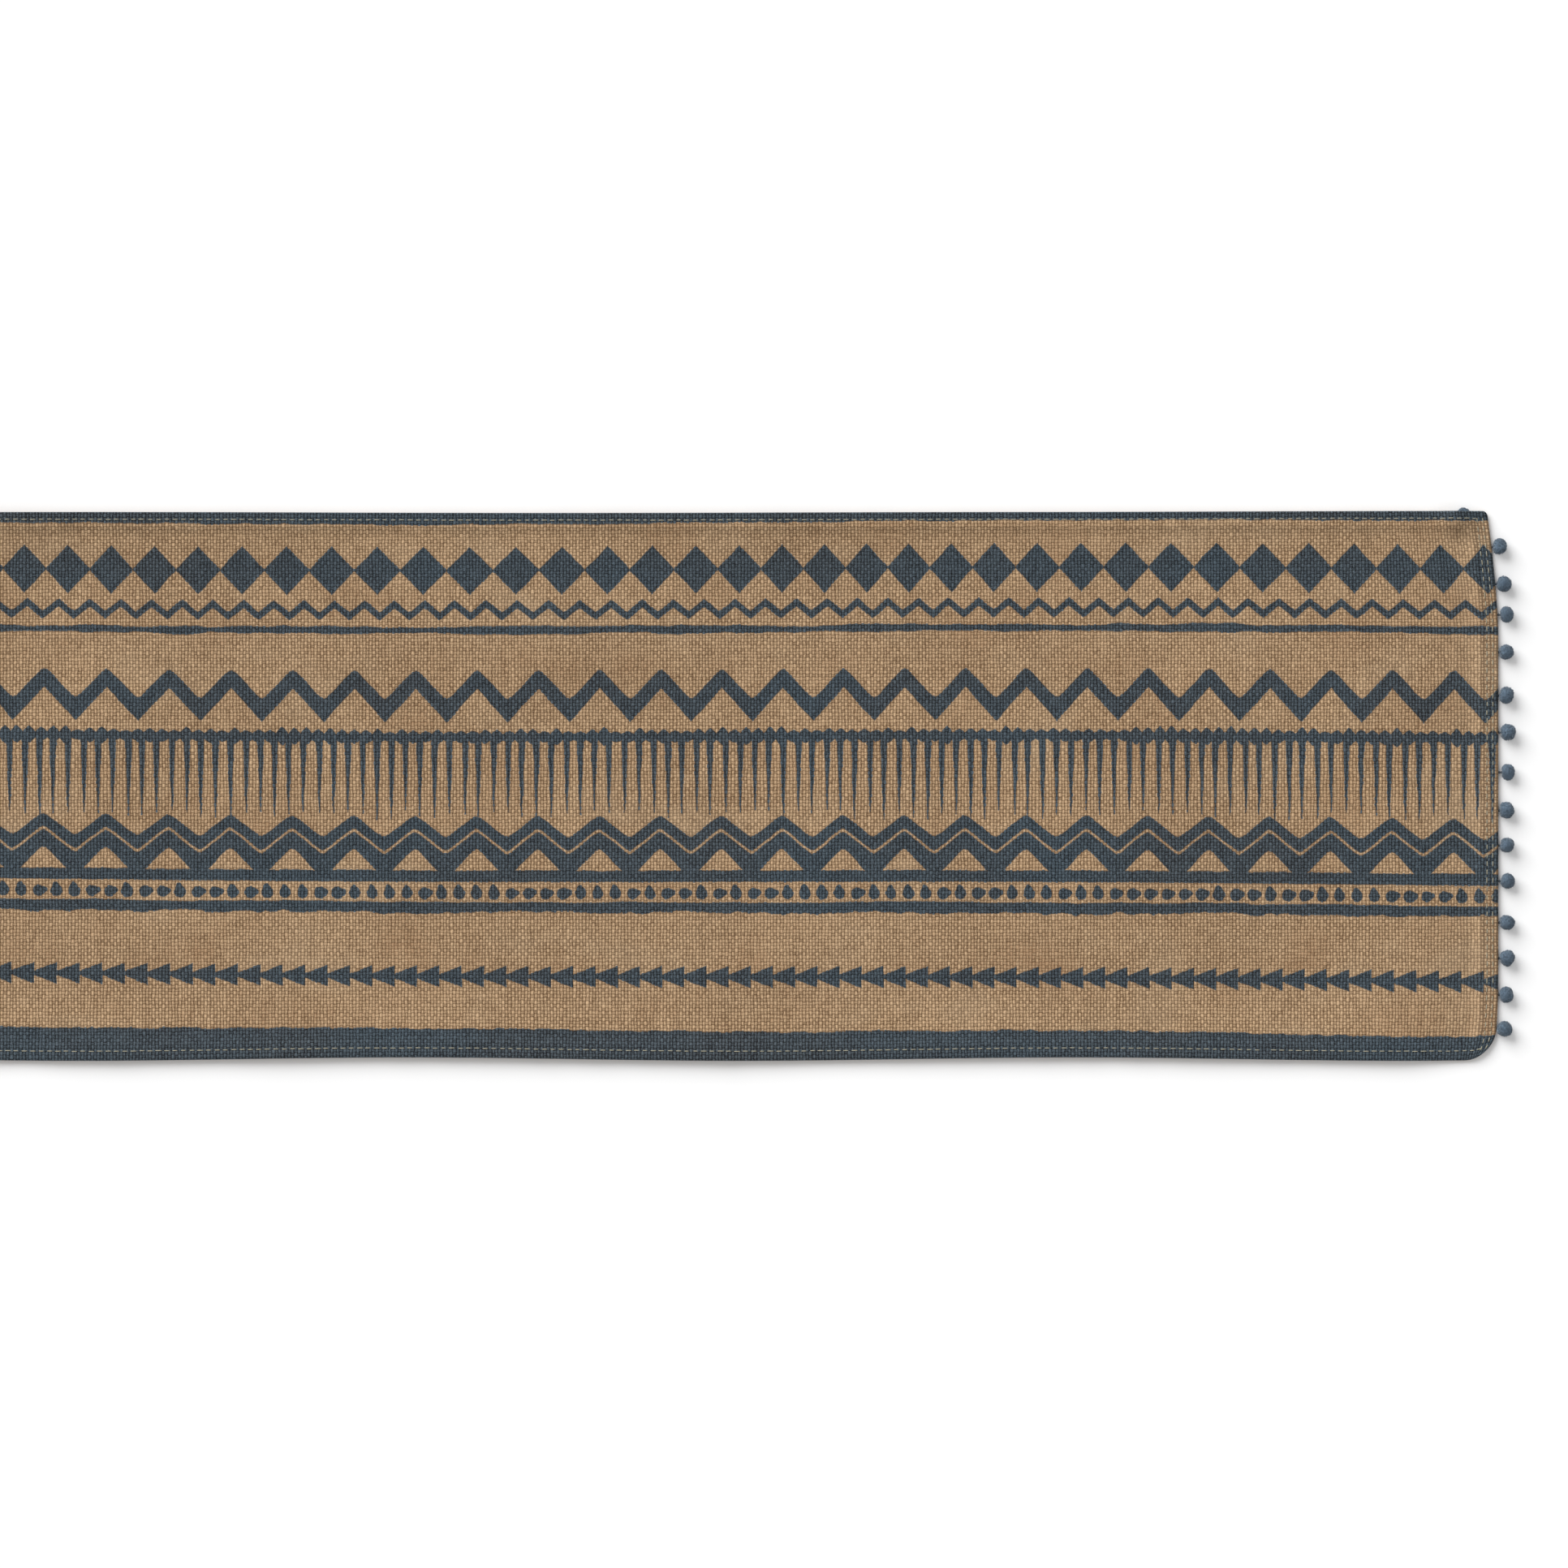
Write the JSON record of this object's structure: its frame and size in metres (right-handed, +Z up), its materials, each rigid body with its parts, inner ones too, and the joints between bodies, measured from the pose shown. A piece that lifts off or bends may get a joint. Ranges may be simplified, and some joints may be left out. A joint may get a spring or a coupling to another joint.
{
  "type": "table runner",
  "caption": "Long hemmed jute table runner with a printed geometric pattern and a row of yarn pompoms along each end, laid flat.",
  "frame": {"origin": "middle of the face that the runner rests on", "axes": "+X along the runner, +Y across it, +Z up out of the printed face"},
  "size_m": [1.8532, 0.3794, 0.0105],
  "materials": {
    "jute_cloth": "plain-woven jute burlap with a matt slate blue print",
    "sewing_thread": "matt cream spun thread",
    "trim_tape": "matt slate blue woven tape",
    "pompom_yarn": "soft clipped yarn, matt slate blue"
  },
  "bodies": {
    "centre": {"cloth_centre": "jute_cloth", "hem_back_centre": "jute_cloth", "hem_front_centre": "jute_cloth", "seam_back_centre": "sewing_thread", "seam_front_centre": "sewing_thread"},
    "end_right": {"cloth_right": "jute_cloth", "hem_back_right": "jute_cloth", "hem_front_right": "jute_cloth", "hem_end_right": "jute_cloth", "seam_back_right": "sewing_thread", "seam_front_right": "sewing_thread", "seam_end_outer_right": "sewing_thread", "seam_end_inner_right": "sewing_thread", "pompom_tape_right": "trim_tape", "pompom_right_01": "pompom_yarn"},
    "end_left": {"cloth_left": "jute_cloth", "hem_back_left": "jute_cloth", "hem_front_left": "jute_cloth", "hem_end_left": "jute_cloth", "seam_back_left": "sewing_thread", "seam_front_left": "sewing_thread", "seam_end_outer_left": "sewing_thread", "seam_end_inner_left": "sewing_thread", "pompom_tape_left": "trim_tape", "pompom_left_01": "pompom_yarn"},
    "pompom_right_02": {"pompom_right_02": "pompom_yarn"},
    "pompom_right_03": {"pompom_right_03": "pompom_yarn"},
    "pompom_right_04": {"pompom_right_04": "pompom_yarn"},
    "pompom_right_05": {"pompom_right_05": "pompom_yarn"},
    "pompom_right_06": {"pompom_right_06": "pompom_yarn"},
    "pompom_right_07": {"pompom_right_07": "pompom_yarn"},
    "pompom_right_08": {"pompom_right_08": "pompom_yarn"},
    "pompom_right_09": {"pompom_right_09": "pompom_yarn"},
    "pompom_right_10": {"pompom_right_10": "pompom_yarn"},
    "pompom_right_11": {"pompom_right_11": "pompom_yarn"},
    "pompom_right_12": {"pompom_right_12": "pompom_yarn"},
    "pompom_right_13": {"pompom_right_13": "pompom_yarn"},
    "pompom_right_14": {"pompom_right_14": "pompom_yarn"},
    "pompom_right_15": {"pompom_right_15": "pompom_yarn"},
    "pompom_left_02": {"pompom_left_02": "pompom_yarn"},
    "pompom_left_03": {"pompom_left_03": "pompom_yarn"},
    "pompom_left_04": {"pompom_left_04": "pompom_yarn"},
    "pompom_left_05": {"pompom_left_05": "pompom_yarn"},
    "pompom_left_06": {"pompom_left_06": "pompom_yarn"},
    "pompom_left_07": {"pompom_left_07": "pompom_yarn"},
    "pompom_left_08": {"pompom_left_08": "pompom_yarn"},
    "pompom_left_09": {"pompom_left_09": "pompom_yarn"},
    "pompom_left_10": {"pompom_left_10": "pompom_yarn"},
    "pompom_left_11": {"pompom_left_11": "pompom_yarn"},
    "pompom_left_12": {"pompom_left_12": "pompom_yarn"},
    "pompom_left_13": {"pompom_left_13": "pompom_yarn"},
    "pompom_left_14": {"pompom_left_14": "pompom_yarn"},
    "pompom_left_15": {"pompom_left_15": "pompom_yarn"}
  },
  "joints": [
    {"name": "end_fold_right", "type": "hinge", "parent": "centre", "child": "end_right", "pos_m": [0.762, 0, 0.0032], "axis": [0, -1, 0], "range_deg": [0, 175]},
    {"name": "end_fold_left", "type": "hinge", "parent": "centre", "child": "end_left", "pos_m": [-0.762, 0, 0.0032], "axis": [0, 1, 0], "range_deg": [0, 175]},
    {"name": "pompom_right_02_swing", "type": "hinge", "parent": "end_right", "child": "pompom_right_02", "pos_m": [0.9155, 0.1541, 0.0011], "axis": [0, -1, 0], "range_deg": [-45, 30]},
    {"name": "pompom_right_03_swing", "type": "hinge", "parent": "end_right", "child": "pompom_right_03", "pos_m": [0.9155, 0.1299, 0.0011], "axis": [0, -1, 0], "range_deg": [-45, 30]},
    {"name": "pompom_right_04_swing", "type": "hinge", "parent": "end_right", "child": "pompom_right_04", "pos_m": [0.9155, 0.1099, 0.0011], "axis": [0, -1, 0], "range_deg": [-45, 30]},
    {"name": "pompom_right_05_swing", "type": "hinge", "parent": "end_right", "child": "pompom_right_05", "pos_m": [0.9155, 0.0856, 0.0011], "axis": [0, -1, 0], "range_deg": [-45, 30]},
    {"name": "pompom_right_06_swing", "type": "hinge", "parent": "end_right", "child": "pompom_right_06", "pos_m": [0.9155, 0.0577, 0.0011], "axis": [0, -1, 0], "range_deg": [-45, 30]},
    {"name": "pompom_right_07_swing", "type": "hinge", "parent": "end_right", "child": "pompom_right_07", "pos_m": [0.9155, 0.0335, 0.0011], "axis": [0, -1, 0], "range_deg": [-45, 30]},
    {"name": "pompom_right_08_swing", "type": "hinge", "parent": "end_right", "child": "pompom_right_08", "pos_m": [0.9155, 0.0076, 0.0011], "axis": [0, -1, 0], "range_deg": [-45, 30]},
    {"name": "pompom_right_09_swing", "type": "hinge", "parent": "end_right", "child": "pompom_right_09", "pos_m": [0.9155, -0.0171, 0.0011], "axis": [0, -1, 0], "range_deg": [-45, 30]},
    {"name": "pompom_right_10_swing", "type": "hinge", "parent": "end_right", "child": "pompom_right_10", "pos_m": [0.9155, -0.0398, 0.0011], "axis": [0, -1, 0], "range_deg": [-45, 30]},
    {"name": "pompom_right_11_swing", "type": "hinge", "parent": "end_right", "child": "pompom_right_11", "pos_m": [0.9155, -0.063, 0.0011], "axis": [0, -1, 0], "range_deg": [-45, 30]},
    {"name": "pompom_right_12_swing", "type": "hinge", "parent": "end_right", "child": "pompom_right_12", "pos_m": [0.9155, -0.0899, 0.0011], "axis": [0, -1, 0], "range_deg": [-45, 30]},
    {"name": "pompom_right_13_swing", "type": "hinge", "parent": "end_right", "child": "pompom_right_13", "pos_m": [0.9155, -0.113, 0.0011], "axis": [0, -1, 0], "range_deg": [-45, 30]},
    {"name": "pompom_right_14_swing", "type": "hinge", "parent": "end_right", "child": "pompom_right_14", "pos_m": [0.9155, -0.1367, 0.0011], "axis": [0, -1, 0], "range_deg": [-45, 30]},
    {"name": "pompom_right_15_swing", "type": "hinge", "parent": "end_right", "child": "pompom_right_15", "pos_m": [0.9155, -0.1589, 0.0011], "axis": [0, -1, 0], "range_deg": [-45, 30]},
    {"name": "pompom_left_02_swing", "type": "hinge", "parent": "end_left", "child": "pompom_left_02", "pos_m": [-0.9155, -0.1541, 0.0011], "axis": [0, 1, 0], "range_deg": [-45, 30]},
    {"name": "pompom_left_03_swing", "type": "hinge", "parent": "end_left", "child": "pompom_left_03", "pos_m": [-0.9155, -0.1299, 0.0011], "axis": [0, 1, 0], "range_deg": [-45, 30]},
    {"name": "pompom_left_04_swing", "type": "hinge", "parent": "end_left", "child": "pompom_left_04", "pos_m": [-0.9155, -0.1099, 0.0011], "axis": [0, 1, 0], "range_deg": [-45, 30]},
    {"name": "pompom_left_05_swing", "type": "hinge", "parent": "end_left", "child": "pompom_left_05", "pos_m": [-0.9155, -0.0856, 0.0011], "axis": [0, 1, 0], "range_deg": [-45, 30]},
    {"name": "pompom_left_06_swing", "type": "hinge", "parent": "end_left", "child": "pompom_left_06", "pos_m": [-0.9155, -0.0577, 0.0011], "axis": [0, 1, 0], "range_deg": [-45, 30]},
    {"name": "pompom_left_07_swing", "type": "hinge", "parent": "end_left", "child": "pompom_left_07", "pos_m": [-0.9155, -0.0335, 0.0011], "axis": [0, 1, 0], "range_deg": [-45, 30]},
    {"name": "pompom_left_08_swing", "type": "hinge", "parent": "end_left", "child": "pompom_left_08", "pos_m": [-0.9155, -0.0076, 0.0011], "axis": [0, 1, 0], "range_deg": [-45, 30]},
    {"name": "pompom_left_09_swing", "type": "hinge", "parent": "end_left", "child": "pompom_left_09", "pos_m": [-0.9155, 0.0171, 0.0011], "axis": [0, 1, 0], "range_deg": [-45, 30]},
    {"name": "pompom_left_10_swing", "type": "hinge", "parent": "end_left", "child": "pompom_left_10", "pos_m": [-0.9155, 0.0398, 0.0011], "axis": [0, 1, 0], "range_deg": [-45, 30]},
    {"name": "pompom_left_11_swing", "type": "hinge", "parent": "end_left", "child": "pompom_left_11", "pos_m": [-0.9155, 0.063, 0.0011], "axis": [0, 1, 0], "range_deg": [-45, 30]},
    {"name": "pompom_left_12_swing", "type": "hinge", "parent": "end_left", "child": "pompom_left_12", "pos_m": [-0.9155, 0.0899, 0.0011], "axis": [0, 1, 0], "range_deg": [-45, 30]},
    {"name": "pompom_left_13_swing", "type": "hinge", "parent": "end_left", "child": "pompom_left_13", "pos_m": [-0.9155, 0.113, 0.0011], "axis": [0, 1, 0], "range_deg": [-45, 30]},
    {"name": "pompom_left_14_swing", "type": "hinge", "parent": "end_left", "child": "pompom_left_14", "pos_m": [-0.9155, 0.1367, 0.0011], "axis": [0, 1, 0], "range_deg": [-45, 30]},
    {"name": "pompom_left_15_swing", "type": "hinge", "parent": "end_left", "child": "pompom_left_15", "pos_m": [-0.9155, 0.1589, 0.0011], "axis": [0, 1, 0], "range_deg": [-45, 30]}
  ]
}
